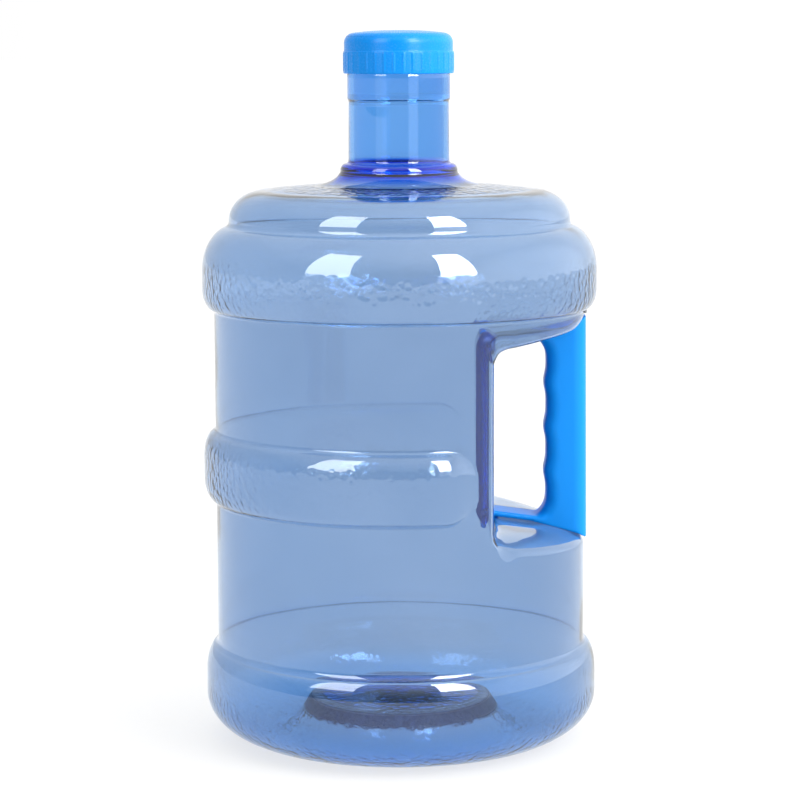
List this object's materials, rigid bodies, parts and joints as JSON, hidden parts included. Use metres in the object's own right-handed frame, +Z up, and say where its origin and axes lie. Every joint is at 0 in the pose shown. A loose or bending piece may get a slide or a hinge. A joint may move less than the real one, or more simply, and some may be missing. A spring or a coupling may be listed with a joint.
{
  "type": "large water jug",
  "caption": "Tall round clear-blue drinking-water jug with ringed sides, a moulded grip in a side recess, a long neck and a ribbed screw cap with a seal.",
  "frame": {"origin": "centre of the base, on the plane the jug stands on", "axes": "+Z up along the jug's axis, +X towards the handle, +Y to the handle's left"},
  "size_m": [0.2164, 0.2164, 0.3888],
  "materials": {
    "clear_blue_bottle": "clear glossy",
    "blue_handle": "satin",
    "blue_cap": "satin",
    "white_seal": "matt"
  },
  "bodies": {
    "jug": {"bottle": "clear_blue_bottle", "handle": "blue_handle"},
    "seal": {"cap_seal": "white_seal"},
    "cap": {"screw_cap": "blue_cap"}
  },
  "joints": [
    {"name": "cap_lift", "type": "slide", "parent": "jug", "child": "seal", "axis": [0, 0, 1], "range_m": [0, 0.025]},
    {"name": "cap_turn", "type": "hinge", "parent": "seal", "child": "cap", "pos_m": [0, 0, 0.3845], "axis": [0, 0, 1], "range_deg": [0, 1440]}
  ],
  "couplings": [
    {"joint": "cap_lift", "follows": "cap_turn", "m_per_rad": 0.00095493}
  ]
}
